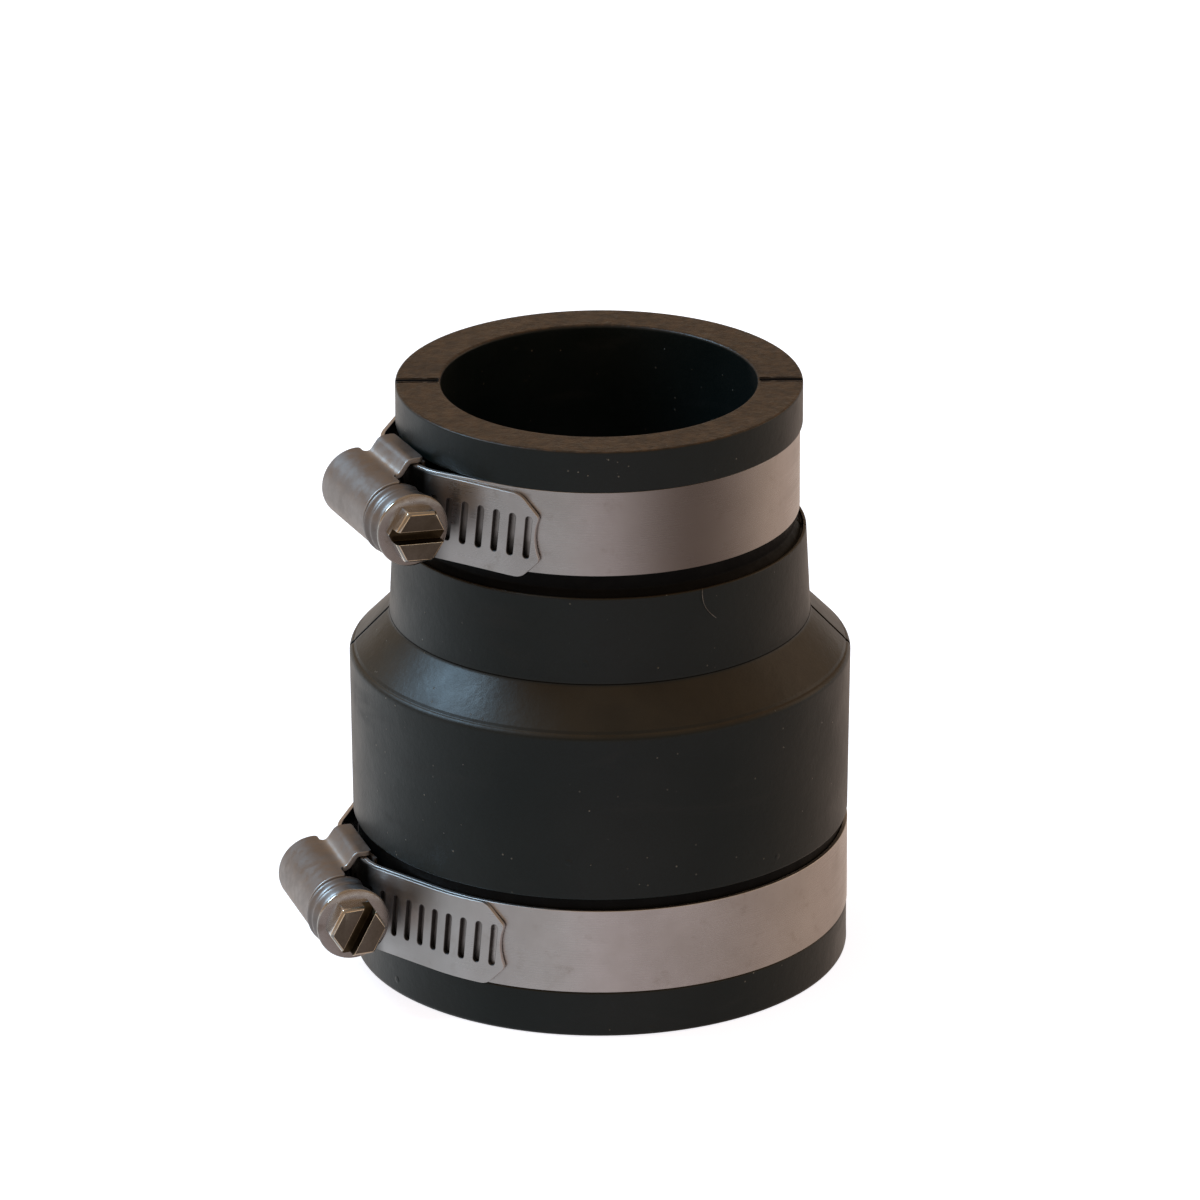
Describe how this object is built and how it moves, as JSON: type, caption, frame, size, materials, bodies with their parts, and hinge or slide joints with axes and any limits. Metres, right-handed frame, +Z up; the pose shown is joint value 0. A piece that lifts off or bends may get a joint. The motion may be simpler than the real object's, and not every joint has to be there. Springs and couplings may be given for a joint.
{
  "type": "rubber pipe coupling",
  "caption": "Flexible reducing coupling for drain pipe: a thick moulded rubber sleeve with a slotted worm-drive clamp in a groove at each end.",
  "frame": {"origin": "centre of the large bore's mouth, on the plane that the coupling stands on", "axes": "+Z up the pipe axis towards the small bore; +X in the mould's parting plane; the screw heads are on the -X side and point towards -Y"},
  "size_m": [0.0788, 0.0688, 0.0824],
  "materials": {
    "rubber": "satin moulded black rubber",
    "band_steel": "rolled stainless strip, satin",
    "housing_steel": "pressed stainless sheet, satin",
    "screw_steel": "bright turned steel"
  },
  "bodies": {
    "sleeve_body": {"sleeve": "rubber"},
    "upper_clamp": {"upper_band": "band_steel", "upper_housing": "housing_steel", "upper_saddle": "housing_steel"},
    "upper_worm": {"upper_screw": "screw_steel"},
    "lower_clamp": {"lower_band": "band_steel", "lower_housing": "housing_steel", "lower_saddle": "housing_steel"},
    "lower_worm": {"lower_screw": "screw_steel"}
  },
  "joints": [
    {"name": "upper_clamp_swivel", "type": "hinge", "parent": "sleeve_body", "child": "upper_clamp", "pos_m": [0, 0, 0.0705], "axis": [0, 0, 1], "continuous": true},
    {"name": "upper_screw_turn", "type": "hinge", "parent": "upper_clamp", "child": "upper_worm", "pos_m": [-0.03024, -0.01346, 0.0705], "axis": [0.4067, -0.9135, 0], "continuous": true},
    {"name": "lower_clamp_swivel", "type": "hinge", "parent": "sleeve_body", "child": "lower_clamp", "pos_m": [0, 0, 0.0126], "axis": [0, 0, 1], "continuous": true},
    {"name": "lower_screw_turn", "type": "hinge", "parent": "lower_clamp", "child": "lower_worm", "pos_m": [-0.03758, -0.01185, 0.0126], "axis": [0.3007, -0.9537, 0], "continuous": true}
  ]
}
